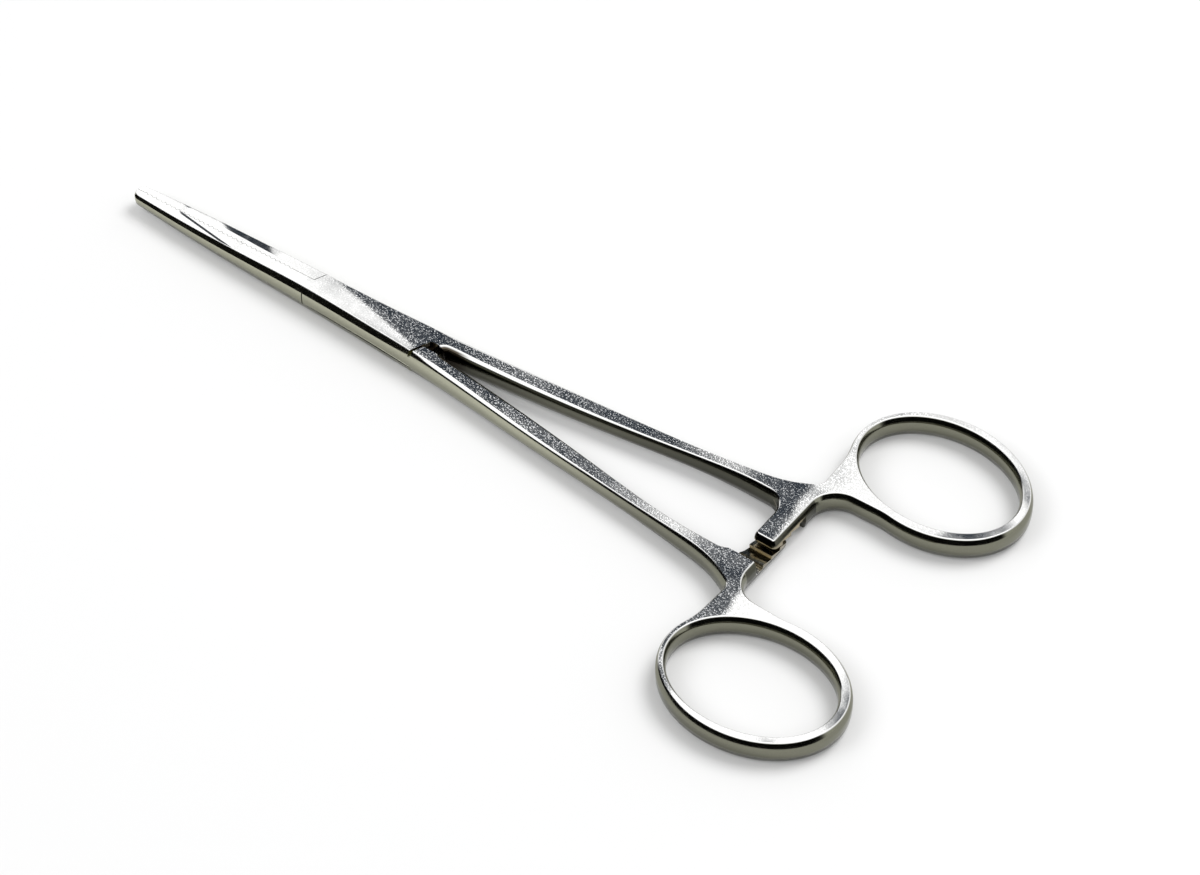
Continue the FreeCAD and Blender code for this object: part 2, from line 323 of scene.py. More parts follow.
def wall_faces(rings, count, first):
    """Four-sided faces between neighbouring rings of a closed wall."""
    i, k = np.meshgrid(np.arange(count), np.arange(rings - 1))
    a, b = first + k * count + i, first + k * count + (i + 1) % count
    return np.stack([a, b, b + count, a + count], 2).reshape(-1, 4)


def cap_faces(places, rings):
    """Triangles that fill the plan between the outline's ring and the ring of the opening."""
    counts = [len(ring) for ring in rings]
    start, size = np.repeat([0, counts[0]], counts), np.repeat(counts, counts)
    here = np.arange(sum(counts))
    edges = np.stack([here, start + (here - start + 1) % size], 1)
    ids = np.concatenate(rings)
    flat = [Vector(p) for p in places[ids, :2].tolist()]
    tris = np.array(delaunay_2d_cdt(flat, edges.tolist(), [], 1, 1e-7)[2])
    return ids[tris[(tris < counts[0]).any(1)]]


def forged_blank():
    """One half as forged and ground: barrelled walls, with a cap above and one below."""
    walls = [flank(outline), flank(opening)]
    places = np.concatenate([wall.reshape(-1, 3) for wall in walls])
    counts = [len(outline), len(opening)]
    starts = [0, len(levels) * counts[0]]
    faces = []
    for count, start in zip(counts, starts):
        faces += wall_faces(len(levels), count, start).tolist()
    for level in (0, len(levels) - 1):
        rings = [start + level * count + np.arange(count) for count, start in zip(counts, starts)]
        cap = cap_faces(places, rings)
        faces += (cap if level else cap[:, ::-1]).tolist()
    return places, faces


blank = forged_blank()
print("blank", len(blank[0]), "places,", len(blank[1]), "faces")


# %% [markdown]
# ## Meshes and cutting
# The lock, the teeth and the serrations are machined into the blank, so they are cut here as
# well, with upright and lengthwise prisms. A cut keeps every edge crisp, as a milling cutter
# leaves it.


# %% Meshes and cuts
def new_piece(name, places, faces):
    """A mesh object from places and faces."""
    mesh = bpy.data.meshes.new(name)
    mesh.from_pydata(np.asarray(places).tolist(), [], faces)
    piece = bpy.data.objects.new(name, mesh)
    bpy.context.scene.collection.objects.link(piece)
    return piece


def prism(points, low, high, along="z"):
    """Cutter on a closed polygon: (x, y) carried along z, or (y, z) carried along x."""
    p = np.array(points, float)
    turned = np.roll(p, -1, axis=0)
    if (p[:, 0] * turned[:, 1] - p[:, 1] * turned[:, 0]).sum() < 0:
        p = p[::-1]
    n = len(p)
    ends = [np.full((n, 1), low), np.full((n, 1), high)]
    order = [np.hstack([p, e]) if along == "z" else np.hstack([e, p]) for e in ends]
    ring = np.arange(n)
    sides = np.stack([ring, (ring + 1) % n, (ring + 1) % n + n, ring + n], 1).tolist()
    return np.concatenate(order), sides + [ring[::-1].tolist(), (ring + n).tolist()]


def disc(radius, half_height, count=128):
    """Round cutter about the pin: radius times cosine and sine, from below to above."""
    t = np.linspace(0, 2 * np.pi, count, endpoint=False)
    circle = np.stack([radius * np.cos(t), radius * np.sin(t)], 1)
    return prism(circle, -half_height, half_height)


def cut(piece, *cutters):
    """Takes the cutters away from a piece, one after another."""
    for places, faces in cutters:
        tool = new_piece("cutter", places, faces)
        step = piece.modifiers.new("cut", "BOOLEAN")
        step.operation, step.solver, step.object = "DIFFERENCE", "EXACT", tool
        cut_away = piece.evaluated_get(bpy.context.evaluated_depsgraph_get())
        left = bpy.data.meshes.new_from_object(cut_away)
        piece.modifiers.clear()
        piece.data = left
        bpy.data.objects.remove(tool)
    return piece


def shade_by_edges(mesh):
    """Smooth shading that keeps the edges crisp where the faces turn by more than an angle."""
    crisp_from = math.radians(28)
    mesh.shade_smooth()
    mesh.set_sharp_from_angle(angle=crisp_from)


print("cutters reach", clear, "mm past the middle plane")


# %% [markdown]
# ## Jaws, lock and ratchet
# The two jaw faces carry teeth that mesh, so one face is the other shifted by half a wave. The
# ratchet arms meet halfway through their thickness: each keeps its upper part and carries three
# saw teeth on its underside, and turned over the same arm is the mating one.


# %% Cutters
def jaw_face(phase):
    """Zigzag meeting face of a jaw from tip to box: half a tooth up, half a tooth down."""
    start, flat = tip_x + first_tooth, -jaw_gap / 2
    count = int((-slot_radius - plain_before_slot - start) / tooth_pitch)
    k = np.arange(count)
    x = start + np.stack([(k + 0.25) * tooth_pitch, (k + 0.75) * tooth_pitch], 1).ravel()
    y = flat + phase * half_tooth * np.tile([1.0, -1.0], count)
    before, after = [[tip_x - spare, flat], [start, flat]], [[start + count * tooth_pitch, flat]]
    return np.concatenate([before, np.stack([x, y], 1), after]).tolist()


def ratchet_cuts():
    """The space under a ratchet arm: a flat cut to the crests, and a slope behind each crest."""
    low, high = arm_left - before_arm, arm_right + behind_arm
    start = arm_end_y - spare
    flat = [(start, -clear), (arm_root_y, -clear), (arm_root_y, crest_z), (start, crest_z)]
    cuts = [prism(flat, low, high, "x")]
    for index in range(step_count + 1):
        y = arm_end_y + step_pitch * index
        end, foot = (y + step_run, crest_z) if index < step_count else (arm_root_y, step_z)
        corners = [(y, step_floor_z), (end, step_floor_z), (end, foot), (y, step_z)]
        cuts.append(prism(corners, low, high, "x"))
    return cuts


def rounded_crotch():
    """Space of the other shank, its inner corner rounded."""
    corner, rear = (plate_x + slant * crotch_y, crotch_y), box_rear_x + spare
    edge = straight((plate_x - slant * plate_reach, -plate_reach), corner, 0.3)
    level = straight(corner, (rear, crotch_y), fine_step)
    first, last = blended(edge, level, crotch_round, corner, -1)
    return np.concatenate([first, last, [[rear, -plate_reach]]]).tolist()


print("jaw face", len(jaw_face(1)), "places, ratchet", len(ratchet_cuts()), "cutters")


# %% [markdown]
# ## The box half
# Its two plates make the box. Between them lies a round slot, open where the tongue enters and
# leaves, and the plates end in slanted edges. Each finished half also keeps a number at every
# place, called rise: 0 in the middle plane of the steel and 1 at its top. The finish asks for it.


# %% Finishing a half
def finished(piece, over):
    """Turns a half over if asked, stands it on the ground in metres and shades it by its edges."""
    mesh, same_place, no_length = piece.data, 1e-4, 1e-5
    form = bmesh.new()
    form.from_mesh(mesh)
    bmesh.ops.remove_doubles(form, verts=form.verts, dist=same_place)
    bmesh.ops.dissolve_degenerate(form, dist=no_length, edges=form.edges)
    form.to_mesh(mesh)
    form.free()
    places = np.zeros(len(mesh.vertices) * 3, np.float32)
    mesh.vertices.foreach_get("co", places)
    places = places.reshape(-1, 3).astype(float)
    if over:
        places[:, 1:] *= -1
    places[:, 2] += half_box
    mesh.vertices.foreach_set("co", (places * metre).astype(np.float32).ravel())
    rise = np.abs(places[:, 2] - half_box) / half_thickness(places[:, 0])
    kept = mesh.attributes.new("rise", "FLOAT", "POINT")
    kept.data.foreach_set("value", rise.astype(np.float32))
    shade_by_edges(mesh)
    mesh.update()
    low, high = places.min(0).round(2).tolist(), places.max(0).round(2).tolist()
    print(piece.name, len(mesh.polygons), "faces, from", low, "to", high)
    return piece


# %% Box half
def make_box_half():
    """Blank less the other jaw, the other shank, the slot, the pin hole and the ratchet gap."""
    flat = -jaw_gap / 2
    far_jaw = [
        (-plate_x + slant * flat, flat),
        (-plate_x + slant * plate_reach, plate_reach),
        (tip_x - spare, plate_reach),
    ]
    half = cut(new_piece("steel_box_half", *blank), *ratchet_cuts())
    half = cut(half, prism(jaw_face(1) + far_jaw, -clear, clear))
    half = cut(half, prism(rounded_crotch(), -clear, clear))
    return cut(half, disc(slot_radius, half_slot), disc(pin_radius, clear, 96))


box_half = finished(make_box_half(), False)

# %% [markdown]
# ## The tongue half
# The same blank, turned over. Its middle is milled down on both sides to a round tongue that
# passes between the plates and turns there. The milling stops at slanted edges, which face the
# edges of the plates. The one at the shank is bevelled, and beside it the milling runs on into
# the corner where the shanks part, as a low recess.


# %% Tongue cutters
def above_and_below(points):
    """Cutters on a polygon that take the steel away above the tongue and below it."""
    return [prism(points, half_tongue, clear), prism(points, -clear, -half_tongue)]


def outside_tongue(points, first, last):
    """A polygon closed along the round edge of the tongue, between two angles in degrees."""
    t = np.radians(np.linspace(first, last, 60))
    arc = tongue_radius * np.stack([np.cos(t), np.sin(t)], 1)
    return np.concatenate([points, arc]).tolist()


def tongue_angle(y):
    """Angle in degrees at which the tongue's round edge lies at a distance y across."""
    return math.degrees(math.asin(y / tongue_radius))


def end_bevels(foot, size):
    """Wedges along a slanted end, one above and one below, that take its edge off at 45 degrees."""
    away = np.array([1.0, slant]) / math.hypot(1.0, slant)
    line = np.array([-slant, 1.0]) / math.hypot(1.0, slant)
    ends = [np.array(foot) + line * s for s in (-spare, bevel_reach)]
    top, behind = float(half_thickness(foot[0])), -bevel_lap
    section = [(behind, top - size + behind), (size + spare, top + spare), (behind, top + spare)]
    wedges = []
    for side in (1, -1):
        places = [[*(end + away * n), side * z] for end in ends for n, z in section]
        faces = [[0, 1, 2], [5, 4, 3], [0, 3, 4, 1], [1, 4, 5, 2], [2, 5, 3, 0]]
        wedges.append((places, faces if side == -1 else [f[::-1] for f in faces]))
    return wedges


# %% Tongue half
def make_tongue_half():
    """Blank less the other jaw and shank beyond the tongue, and less what the plates cover."""
    flat, far, rear = -jaw_gap / 2, plate_reach, box_rear_x + spare
    front_edge, rear_edge = plate_x + front_play, plate_x + rear_play
    plates = [
        (-front_edge + slant * far, -far),
        (-front_edge - slant * flat, flat),
        (-slot_radius - spare, flat),
        (-slot_radius - spare, far),
        (rear_edge - slant * far, far),
        (rear_edge - slant * recess_y, recess_y),
        (rear, recess_y),
        (rear, -far),
    ]
    other_jaw = jaw_face(-1) + [(-tongue_radius, flat)]
    other_jaw = outside_tongue(other_jaw, 180 - tongue_angle(flat), 180 - tongue_angle(far))
    other_jaw += [(tip_x - spare, far)]
    other_shank = [(rear, -far), (rear, crotch_y)]
    other_shank = outside_tongue(other_shank, tongue_angle(crotch_y), -tongue_angle(far))
    half = cut(new_piece("steel_tongue_half", *blank), *ratchet_cuts())
    half = cut(half, prism(other_jaw, -clear, clear), prism(other_shank, -clear, clear))
    half = cut(half, *above_and_below(plates), *end_bevels((rear_edge, 0.0), end_bevel))
    return cut(half, disc(pin_radius + pin_play, clear, 96))


tongue_half = finished(make_tongue_half(), True)


# %% [markdown]
# ## The pin
# A plain pin, ground flush with both plates. On the real one it can hardly be found, because it
# is polished together with the box. It is a profile turned about the pin axis.


# %% Pin
def make_pin(count=96):
    """Places at radius times cosine and sine, one ring for each place of the profile."""
    height, inner = 2 * half_box, pin_radius / 2
    t = np.linspace(0, 2 * np.pi, count, endpoint=False)
    circle = np.stack([np.cos(t), np.sin(t)], 1)
    profile = [(inner, 0), (pin_radius, 0), (pin_radius, height), (inner, height)]
    places = [np.column_stack([r * circle, np.full(count, z)]) for r, z in profile]
    places = np.concatenate(places + [[[0, 0, 0], [0, 0, height]]]) * metre
    k = np.arange(count)
    on, top = (k + 1) % count, 3 * count
    below, above = np.full(count, 4 * count), np.full(count, 4 * count + 1)
    faces = wall_faces(4, count, 0).tolist()
    faces += np.stack([on, k, below], 1).tolist()
    faces += np.stack([k + top, on + top, above], 1).tolist()
    return new_piece("steel_pin", places, faces)


pin = make_pin()
shade_by_edges(pin.data)
print("pin", len(pin.data.polygons), "faces")

# %% [markdown]
# ## Steel
# Stainless steel of this kind is tumbled and polished. Flanks and bevels are bright. The wide top
# faces keep a fine satin grain that breaks a mirrored edge up into speckles, and the hand
# grinding leaves them slightly wavy, with planes that meet along soft lines. Four effects are
# shared, so each is a node group: a mask of the faces that look up or down, the grain, the slow
# wave of the grinding, and one ground plane.


# %% Node helpers
def group_of(name, inputs, outputs):
    """An empty node group with named number sockets."""
    tree, kind = bpy.data.node_groups.new(name, "ShaderNodeTree"), "NodeSocketFloat"
    for label, value in inputs:
        socket = tree.interface.new_socket(label, in_out="INPUT", socket_type=kind)
        socket.default_value = value
    for label in outputs:
        tree.interface.new_socket(label, in_out="OUTPUT", socket_type=kind)
    return tree, tree.nodes.new("NodeGroupInput"), tree.nodes.new("NodeGroupOutput")


def add(tree, kind, links=(), **values):
    """A node with its settings, and with links into its inputs by name or number."""
    node = tree.nodes.new(kind)
    for key, value in values.items():
        setattr(node, key, value)
    for key, source in dict(links).items():
        if isinstance(source, bpy.types.NodeSocket):
            tree.links.new(source, node.inputs[key])
        else:
            node.inputs[key].default_value = source
    return node


def placed_group(tree, group, **values):
    """A group as a node in a material, with its own values."""
    node = add(tree, "ShaderNodeGroup", node_tree=group)
    for key, value in values.items():
        node.inputs[key.replace("_", " ")].default_value = value
    return node


def calc(tree, kind, a, b=0.0, c=0.0):
    """One step of arithmetic."""
    return add(tree, "ShaderNodeMath", {0: a, 1: b, 2: c}, operation=kind).outputs[0]


def times(tree, first, *others):
    """Product of all the values."""
    for other in others:
        first = calc(tree, "MULTIPLY", first, other)
    return first


def ramp(tree, value, low, high, to_low=0.0, to_high=1.0):
    """Soft step of a value from one level to another."""
    links = {"Value": value, "From Min": low, "From Max": high, "To Min": to_low, "To Max": to_high}
    return add(tree, "ShaderNodeMapRange", links, interpolation_type="SMOOTHSTEP").outputs["Result"]


def stretch(tree, value, starts, full, fades, ended):
    """1 between full and fades, 0 before starts and after ended, soft in between."""
    return times(tree, ramp(tree, value, starts, full), ramp(tree, value, ended, fades))


def mixed(tree, share, first, second):
    """Colour that goes from the first to the second with the share."""
    links = {"Factor": share, "A": first, "B": second}
    return add(tree, "ShaderNodeMix", links, data_type="RGBA").outputs["Result"]


def bump(tree, height, distance, under=None):
    """Tilt of the surface from a height, over the tilt that lies under it."""
    links = {"Height": height, "Distance": distance, "Strength": 1.0}
    if under:
        links["Normal"] = under
    return add(tree, "ShaderNodeBump", links).outputs[0]


# %% Shared effects
pit_step, patch_step = (0.56, 0.7, 0.0, 0.5), (0.35, 0.65)


def make_flat_mask():
    """Mask of the faces that look straight up or down."""
    tree, given, out = group_of("flat_faces", [("From", 0.9), ("To", 0.97)], ["Mask"])
    where = add(tree, "ShaderNodeTexCoord")
    split = add(tree, "ShaderNodeSeparateXYZ", {0: where.outputs["Normal"]})
    upward = calc(tree, "ABSOLUTE", split.outputs["Z"])
    mask = ramp(tree, upward, given.outputs["From"], given.outputs["To"])
    tree.links.new(mask, out.inputs["Mask"])
    return tree


def make_grain():
    """Fine noise with deeper pits in it, and wide patches in which it may come and go."""
    inputs = [("Scale", 4200.0), ("Patch Scale", 500.0)]
    tree, given, out = group_of("satin_grain", inputs, ["Height", "Patches"])
    where = add(tree, "ShaderNodeTexCoord").outputs["Object"]
    noises = []
    for label, detail in [("Scale", 2.0), ("Patch Scale", 3.0)]:
        links = {"Vector": where, "Scale": given.outputs[label], "Detail": detail}
        noises.append(add(tree, "ShaderNodeTexNoise", links).outputs["Fac"])
    fine, wide = noises
    pits = ramp(tree, fine, *pit_step)
    tree.links.new(calc(tree, "ADD", fine, pits), out.inputs["Height"])
    tree.links.new(ramp(tree, wide, *patch_step), out.inputs["Patches"])
    return tree


def make_wave():
    """Slow unevenness of a hand-ground face, longer along the steel than across."""
    inputs = [("Scale", 130.0), ("Stretch", 0.3)]
    tree, given, out = group_of("ground_wave", inputs, ["Height"])
    where = add(tree, "ShaderNodeTexCoord").outputs["Object"]
    size = add(tree, "ShaderNodeCombineXYZ", {"X": given.outputs["Stretch"], "Y": 1.0, "Z": 1.0})
    links = {0: where, 1: size.outputs[0]}
    placed = add(tree, "ShaderNodeVectorMath", links, operation="MULTIPLY").outputs[0]
    links = {"Vector": placed, "Scale": given.outputs["Scale"], "Detail": 1.0}
    slow = add(tree, "ShaderNodeTexNoise", links)
    tree.links.new(slow.outputs["Fac"], out.inputs["Height"])
    return tree


def make_facet():
    """One ground plane: x times Along plus y times Across, and past Start it falls by Slope."""
    inputs = [("Along", 0.0), ("Across", 1.0), ("Start", 0.0), ("Softness", 0.0005), ("Slope", 0.0)]
    tree, given, out = group_of("ground_facet", inputs, ["Height"])
    where = add(tree, "ShaderNodeTexCoord").outputs["Object"]
    split = add(tree, "ShaderNodeSeparateXYZ", {0: where})
    along = times(tree, split.outputs["X"], given.outputs["Along"])
    across = times(tree, split.outputs["Y"], given.outputs["Across"])
    beyond = calc(tree, "SUBTRACT", calc(tree, "ADD", along, across), given.outputs["Start"])
    soft = calc(tree, "SMOOTH_MAX", beyond, 0.0, given.outputs["Softness"])
    tree.links.new(times(tree, soft, given.outputs["Slope"]), out.inputs["Height"])
    return tree


flat_faces, satin_grain = make_flat_mask(), make_grain()
ground_wave, ground_facet = make_wave(), make_facet()
print("shared effects", [group.name for group in bpy.data.node_groups])

# %% [markdown]
# ## Where the finish changes
# Places are metres now. A stretch is four places along the instrument: where the effect starts,
# where it is full, where it fades and where it has ended. The grain lies behind a slanted line
# over the box and along the shanks. The flanks have a darker, khaki tone than the flats, a painted
# reflection in the steel's colour, and grow darker still towards the grip. Between the shanks the
# flanks are darkened further as painted shade. A brown film lies on the ratchet steps, and painted
# shade darkens the corner where the shanks part. A ground plane is a slope that begins past a line
# across the flats: one on the neck, one past the slanted line over the box, two for the two sides
# of a streak on the near jaw, one for a patch on the far jaw and one along its far edge.

# %% Places of the finish
grain_on_box, grain_on_shanks = (-0.012, -0.002, 0.071, 0.077), (0.0095, 0.011, 0.071, 0.077)
box_slant, box_slant_edge = {"Along": 0.214, "Across": 0.977}, (-0.0008, 0.0006)
least_grain, more_grain = 0.15, 0.85
grip_begins, grip_darker = (0.028, 0.058), -0.52
# Painted shade darkens the flanks that face each other between the shanks
shanks_part, shade_between_shanks = (0.011, 0.014, 0.074, 0.078), -0.65

# Between the shanks is what lies nearer the middle than this slope times x plus this start
inner_slope, inner_start = 0.118, -0.000275

ratchet_x, ratchet_half, ratchet_edge = 0.0696, 0.0035, (0.0062, 0.0045)
# The film is the ratchet's own brown film; the dark recess colour is painted shade in the corner
# where the shanks part
film_colour, recess_shade_colour = (0.38, 0.33, 0.23, 1.0), (0.06, 0.05, 0.036, 1.0)
recess_shade_along, recess_shade_across = (0.0098, 0.0104, 0.0145, 0.0175), (0.0017, 0.0014)
neck_plane = {"Along": 0.985, "Across": 0.175, "Start": 0.0697, "Softness": 0.0014, "Slope": 0.1}
streak = {"Along": 0.145, "Across": 0.989, "Softness": 0.00004}
streak_along = (-0.0362, -0.0345, -0.025, -0.023)
box_plane = {**box_slant, "Start": 0.0003, "Softness": 0.0005, "Slope": -0.06}
far_patch = {"Along": 0.03, "Across": 1.0, "Start": 0.0001, "Softness": 0.0001, "Slope": -0.2}
far_edge = {"Along": -0.029, "Across": 1.0, "Start": 0.0023, "Softness": 0.0003, "Slope": -0.1}
jaw_planes = [
    (box_plane, (-0.02, -0.012, 0.011, 0.03)),
    ({**streak, "Start": -0.00552, "Slope": -0.17}, streak_along),
    ({**streak, "Start": -0.00516, "Slope": 0.17}, streak_along),
    (far_patch, (-0.0295, -0.0255, -0.021, -0.017)),
    (far_edge, (-0.05, -0.045, -0.004, 0.004)),
]
print("ground planes", len(jaw_planes) + 1)

# %% Levels of the finish
# A soft step has four numbers: between the first two the effect goes from the third to the
# fourth. With two numbers it goes from 0 to 1.
only_flats, flats_and_bevels = {"From": 0.9, "To": 0.97}, {"From": 0.62, "To": 0.76}
rough_step, rough_patches = (0.0, 1.0, 0.11, 0.12), 0.04
speckle_step, plain_step = (0.36, 0.85, 0.72, 1.6), (0.3, 0.7, 0.94, 1.0)
film_patches, film_rise, recess_shade_rise = (0.0, 1.0, 0.6, 1.0), (0.5, 0.4), (0.97, 0.88)
grain_by_share, grain_by_place = (0.0, 1.0, 0.12, 1.0), (0.02, 0.045, 1.0, 0.62)
grain_height, wave_height = 0.0000095, 0.0003
ring_wave_scale, ring_wave_step = 75.0, (0.072, 0.084, 0.0, 0.0012)
shoulder_rise, grip_rise = (0.3, 0.93), (0.2, 0.93)
shoulder_to_box = (-0.044, -0.018, -0.00029, -0.0004)
shoulder_from_box = (0.0, 0.016, -0.0004, -0.00009)
shoulder_at_grip = (0.05, 0.07, 0.0, -0.00016)
print("grain", round(grain_height * 1e6, 1), "and wave", round(wave_height * 1e6), "micrometres")


# %% Grain and tone
def grain_share(tree, along, across, flat):
    """How much of the grain a flat face shows, from a little on the jaws to all on the shanks."""
    slanted = calc(tree, "MULTIPLY", across, box_slant["Across"])
    slanted = calc(tree, "MULTIPLY_ADD", along, box_slant["Along"], slanted)
    on_box = times(tree, stretch(tree, along, *grain_on_box), ramp(tree, slanted, *box_slant_edge))
    share = calc(tree, "MAXIMUM", on_box, stretch(tree, along, *grain_on_shanks))
    return times(tree, calc(tree, "MULTIPLY_ADD", share, more_grain, least_grain), flat)


def steel_tone(tree, along, aside, grain, share, on_flank):
    """Brightness: speckled by the grain, darker on flanks at the grip, and darker between the
    shanks as painted shade.
    """
    speckle, plain = ramp(tree, grain, *speckle_step), ramp(tree, grain, *plain_step)
    tone = times(tree, share, calc(tree, "SUBTRACT", speckle, plain))
    tone = calc(tree, "ADD", tone, plain)
    # The flanks grow darker towards the grip
    flank_toward_grip = times(tree, on_flank, ramp(tree, along, *grip_begins))
    tone = times(tree, tone, calc(tree, "MULTIPLY_ADD", flank_toward_grip, grip_darker, 1.0))
    # Painted shade: flanks nearer the middle, between the shanks, are darkened
    inner = calc(tree, "MULTIPLY_ADD", along, inner_slope, inner_start)
    inner = calc(tree, "LESS_THAN", aside, inner)
    inner = times(tree, inner, stretch(tree, along, *shanks_part), on_flank)
    return times(tree, tone, calc(tree, "MULTIPLY_ADD", inner, shade_between_shanks, 1.0))


# %% Stains and painted shade
def stained_and_shaded(tree, colour, along, aside, rise, patches):
    """The steel's colour under a brown film on the ratchet steps, and painted shade in the corner
    between the shanks.
    """
    film = calc(tree, "COMPARE", along, ratchet_x, ratchet_half)
    film = times(tree, film, ramp(tree, aside, *ratchet_edge), ramp(tree, rise, *film_rise))
    film = times(tree, film, ramp(tree, patches, *film_patches))
    # Painted shade darkens all but the top faces in the corner where the shanks part
    recess_shade = times(tree, stretch(tree, along, *recess_shade_along), ramp(tree, aside, *recess_shade_across))
    recess_shade = times(tree, recess_shade, ramp(tree, rise, *recess_shade_rise))
    return mixed(tree, recess_shade, mixed(tree, film, colour, film_colour), recess_shade_colour)


# %% Ground form
def ground_form(tree, along, rise, flat):
    """Height left by the grinding: planes and waves on the flats, round shoulders on flanks."""
    plane = placed_group(tree, ground_facet, **neck_plane).outputs["Height"]
    for facet, places in jaw_planes:
        height = placed_group(tree, ground_facet, **facet).outputs["Height"]
        plane = calc(tree, "ADD", plane, times(tree, height, stretch(tree, along, *places)))
    ring_wave = placed_group(tree, ground_wave, Scale=ring_wave_scale, Stretch=1.0)
    ring_wave = times(tree, ring_wave.outputs["Height"], ramp(tree, along, *ring_wave_step))
    plane = calc(tree, "ADD", plane, ring_wave)
    to_box, from_box = ramp(tree, along, *shoulder_to_box), ramp(tree, along, *shoulder_from_box)
    depth = calc(tree, "MAXIMUM", to_box, from_box)
    shoulder = times(tree, ramp(tree, rise, *shoulder_rise), depth)
    grip = times(tree, ramp(tree, rise, *grip_rise), ramp(tree, along, *shoulder_at_grip))
    shoulder = calc(tree, "ADD", shoulder, grip)
    on_flank = times(tree, shoulder, calc(tree, "SUBTRACT", 1.0, flat))
    return calc(tree, "ADD", times(tree, plane, flat), on_flank)


# %% Steel material
def polished_steel(name, flat_tint, flank_tint_and_reflection, wave_scale):
    """Bright flanks and bevels, their tint holding a painted reflection, satin flats, a slow wave
    over both, the film and the painted shade.
    """
    material = bpy.data.materials.new(name)
    material.use_nodes = True
    tree = material.node_tree
    shader = tree.nodes["Principled BSDF"]
    shader.inputs["Metallic"].default_value = 1.0
    place = add(tree, "ShaderNodeTexCoord").outputs["Object"]
    place = add(tree, "ShaderNodeSeparateXYZ", {0: place}).outputs
    along, aside = place["X"], calc(tree, "ABSOLUTE", place["Y"])
    rise = add(tree, "ShaderNodeAttribute", attribute_name="rise").outputs["Fac"]
    flat = placed_group(tree, flat_faces, **only_flats).outputs["Mask"]
    top_and_bevel = placed_group(tree, flat_faces, **flats_and_bevels).outputs["Mask"]
    on_flank = calc(tree, "SUBTRACT", 1.0, top_and_bevel)
    grain, patches = placed_group(tree, satin_grain, Scale=4200.0, Patch_Scale=500.0).outputs
    wave = placed_group(tree, ground_wave, Scale=wave_scale, Stretch=0.3).outputs["Height"]

    rough = calc(tree, "ADD", ramp(tree, flat, *rough_step), times(tree, patches, rough_patches))
    tree.links.new(rough, shader.inputs["Roughness"])

    share = grain_share(tree, along, place["Y"], flat)
    tone = steel_tone(tree, along, aside, grain, share, on_flank)
    # The flanks' darker khaki tint is a painted reflection in the steel's colour; faces looking up
    # keep the pale steel tone
    colour = mixed(tree, top_and_bevel, (*flank_tint_and_reflection, 1.0), (*flat_tint, 1.0))
    toned = add(tree, "ShaderNodeVectorMath", {0: colour, 3: tone}, operation="SCALE").outputs[0]
    colour = stained_and_shaded(tree, toned, along, aside, rise, patches)
    tree.links.new(colour, shader.inputs["Base Color"])

    height = times(tree, grain, ramp(tree, share, *grain_by_share))
    height = times(tree, height, ramp(tree, along, *grain_by_place))
    fine = bump(tree, height, grain_height)
    slow = bump(tree, wave, wave_height, fine)
    ground = bump(tree, ground_form(tree, along, rise, flat), 1.0, slow)
    tree.links.new(ground, shader.inputs["Normal"])
    return material


steel = polished_steel("polished_steel", (0.72, 0.72, 0.712), (0.42, 0.42, 0.325), 130.0)
for piece, node, body in [
    (box_half, "box_half", "box_half"),
    (tongue_half, "tongue_half", "tongue_half"),
    (pin, "pivot_pin", "box_half"),
]:
    piece.data.materials.clear()
    piece.data.materials.append(steel)
    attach(piece, body)
    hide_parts(node)
print("steel has", len(steel.node_tree.nodes), "nodes")

# %% [markdown]
# ## Floor and room
# The instrument lies on white. The floor is a wide pale sheet that takes the soft shadow, and
# glows by a twentieth where the camera sees it, which brings it up to white. Polished steel shows
# the room rather than a colour of its own, so the room matters. Low down its walls are dark, and
# darkest on the camera's side. Above them runs a bright band, and the ceiling is dimmer than the
# band. Straight across from the camera a dark column stands before the band: its straight edge
# is what crosses the box, and the shanks mirror the column itself. The camera sees plain white
# there.


# %% Floor
def make_floor(half=3.0):
    """Flat sheet at height zero, a grid of one face."""
    x, y = np.meshgrid([-half, half], [-half, half])
    places = np.column_stack([x.ravel(), y.ravel(), np.zeros(4)])
    return new_piece("floor", places, [[0, 1, 3, 2]])


def seen_directly(tree, path):
    """1 for what the camera sees, straight or in a mirror or through glass."""
    direct = calc(tree, "ADD", path["Is Camera Ray"], path["Is Glossy Ray"])
    return calc(tree, "ADD", direct, path["Is Transmission Ray"])


paper_tone, paper_glow = (0.73, 0.73, 0.73, 1.0), 0.05
floor = make_floor()
paper = bpy.data.materials.new("white_floor")
paper.use_nodes = True
tree = paper.node_tree
shader = tree.nodes["Principled BSDF"]
shader.inputs["Base Color"].default_value = paper_tone
shader.inputs["Roughness"].default_value = 0.9
shader.inputs["Specular IOR Level"].default_value = 0.0
direct = seen_directly(tree, add(tree, "ShaderNodeLightPath").outputs)
glow = times(tree, direct, paper_glow)
tree.links.new(glow, shader.inputs["Emission Strength"])
shader.inputs["Emission Color"].default_value = (1.0, 1.0, 1.0, 1.0)
floor.data.materials.append(paper)
print("floor", len(floor.data.polygons), "face")

# %% Room
# Heights are the upward part of a direction of length one, and turns are in radians
wall_top, wall_side = (0.63, 0.55), (0.12, -0.08, 0.3, 1.0)
column_turn, column_top = (-0.735, -0.69, -0.35, -0.25), (0.86, 0.81)
ceiling_starts = (0.88, 0.95, 1.0, 0.45)
column_colour, wall_colour = (0.022, 0.03, 0.041, 1.0), (0.004, 0.004, 0.004, 1.0)
camera_sees = (0.625, 0.625, 0.625, 1.0)
mirrored_level, less_for_floor = 1.6, -0.45

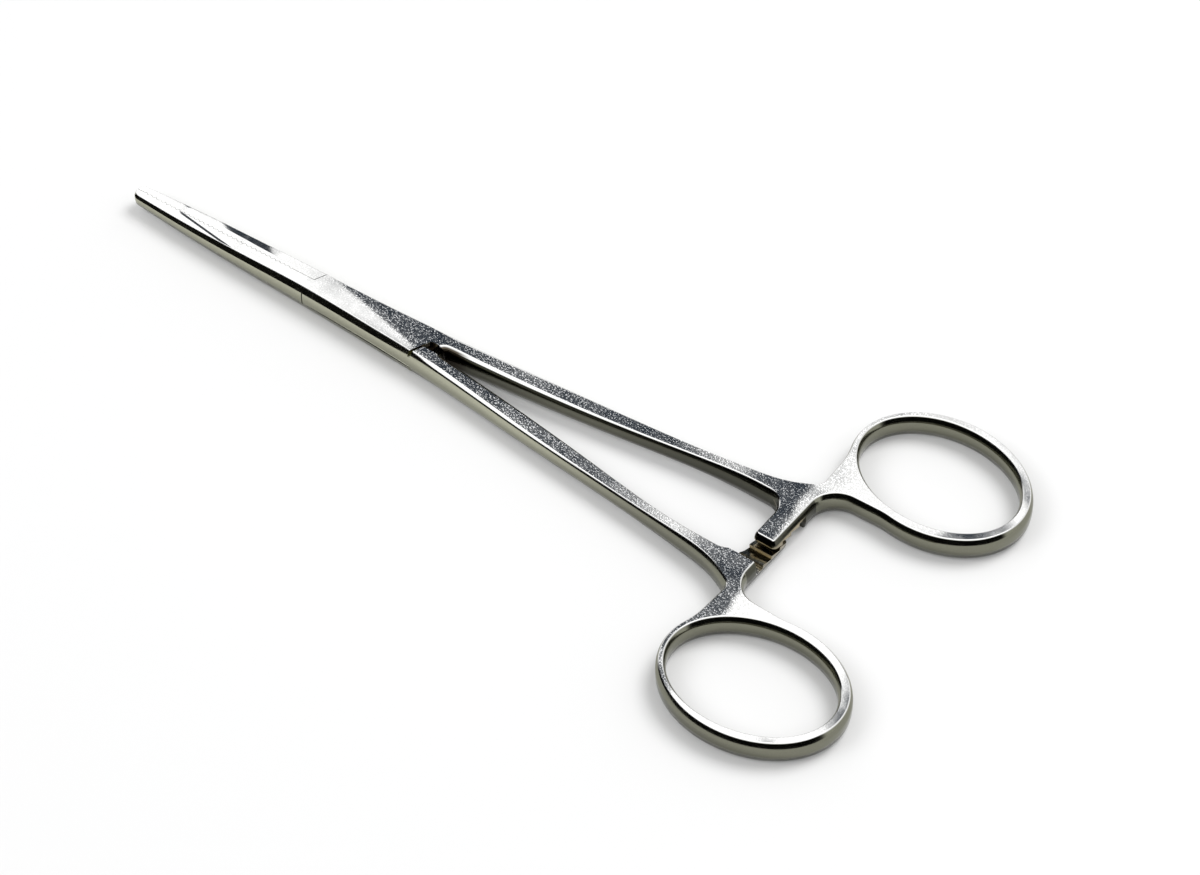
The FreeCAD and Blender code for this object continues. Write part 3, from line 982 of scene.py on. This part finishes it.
world = bpy.data.worlds.new("studio")
bpy.context.scene.world = world
world.use_nodes = True
tree = world.node_tree
tree.nodes.clear()
look = add(tree, "ShaderNodeTexCoord").outputs["Generated"]
split = add(tree, "ShaderNodeSeparateXYZ", {0: look}).outputs
height = split["Z"]
turn = calc(tree, "ARCTAN2", split["X"], split["Y"])
column = times(tree, stretch(tree, turn, *column_turn), ramp(tree, height, *column_top))
walls = times(tree, ramp(tree, height, *wall_top), ramp(tree, split["Y"], *wall_side))
room = mixed(tree, column, ramp(tree, height, *ceiling_starts), column_colour)
room = mixed(tree, walls, room, wall_colour)
path = add(tree, "ShaderNodeLightPath").outputs
seen = mixed(tree, path["Is Camera Ray"], room, camera_sees)
level = calc(tree, "MULTIPLY_ADD", path["Is Diffuse Ray"], less_for_floor, mirrored_level)
backdrop = add(tree, "ShaderNodeBackground", {"Color": seen, "Strength": level}).outputs[0]
add(tree, "ShaderNodeOutputWorld", {"Surface": backdrop})
print("room", len(tree.nodes), "nodes")


# %% [markdown]
# ## Lamps
# The room alone would light the floor from everywhere. Two wide soft lamps, one behind the
# instrument and a weaker one before it, give the shadow its side. The steel doesn't mirror them.


# %% Lamps
lamp_width, lit_place = 0.5, Vector((0.03, 0.0, 0.0))


def soft_lamp(name, watts, place):
    """Round soft lamp aimed at the instrument. It throws the shadow and is not mirrored."""
    data = bpy.data.lights.new(name, "AREA")
    data.shape, data.size, data.energy = "DISK", lamp_width, watts
    lamp = bpy.data.objects.new(name, data)
    bpy.context.scene.collection.objects.link(lamp)
    lamp.location = place
    lamp.rotation_euler = (lit_place - lamp.location).to_track_quat("-Z", "Y").to_euler()
    lamp.visible_glossy = lamp.visible_camera = False
    print(name, watts, "W")


soft_lamp("key_lamp", 4.1, (0.22, 0.42, 0.75))
soft_lamp("fill_lamp", 1.5, (-0.3, -0.5, 0.6))

# %% [markdown]
# ## Camera
# The instrument was seen from above at a bit less than fifty degrees, from the right of its tips,
# through a long lens, and with the camera rolled by less than one degree.

# %% Camera
camera_at = Vector((0.29549, -0.33300, 0.46513))
back = Vector((0.40891379, -0.53433807, 0.73977858))
roll = math.radians(-0.8429)
right = Vector((0, 0, 1)).cross(back).normalized()
up = back.cross(right)
rolled_right = math.cos(roll) * right + math.sin(roll) * up
rolled_up = math.cos(roll) * up - math.sin(roll) * right
camera_data = bpy.data.cameras.new("camera")
camera_data.lens, camera_data.sensor_width = 135.0, 36.0
camera_data.sensor_fit = "HORIZONTAL"
camera_data.clip_start, camera_data.clip_end = 0.01, 20.0
camera = bpy.data.objects.new("camera", camera_data)
bpy.context.scene.collection.objects.link(camera)
turned = Matrix((rolled_right, rolled_up, back)).transposed().to_4x4()
camera.matrix_world = Matrix.Translation(camera_at) @ turned
bpy.context.scene.camera = camera
bpy.context.scene.view_settings.view_transform = "Standard"
print("camera", camera_data.lens, "mm")
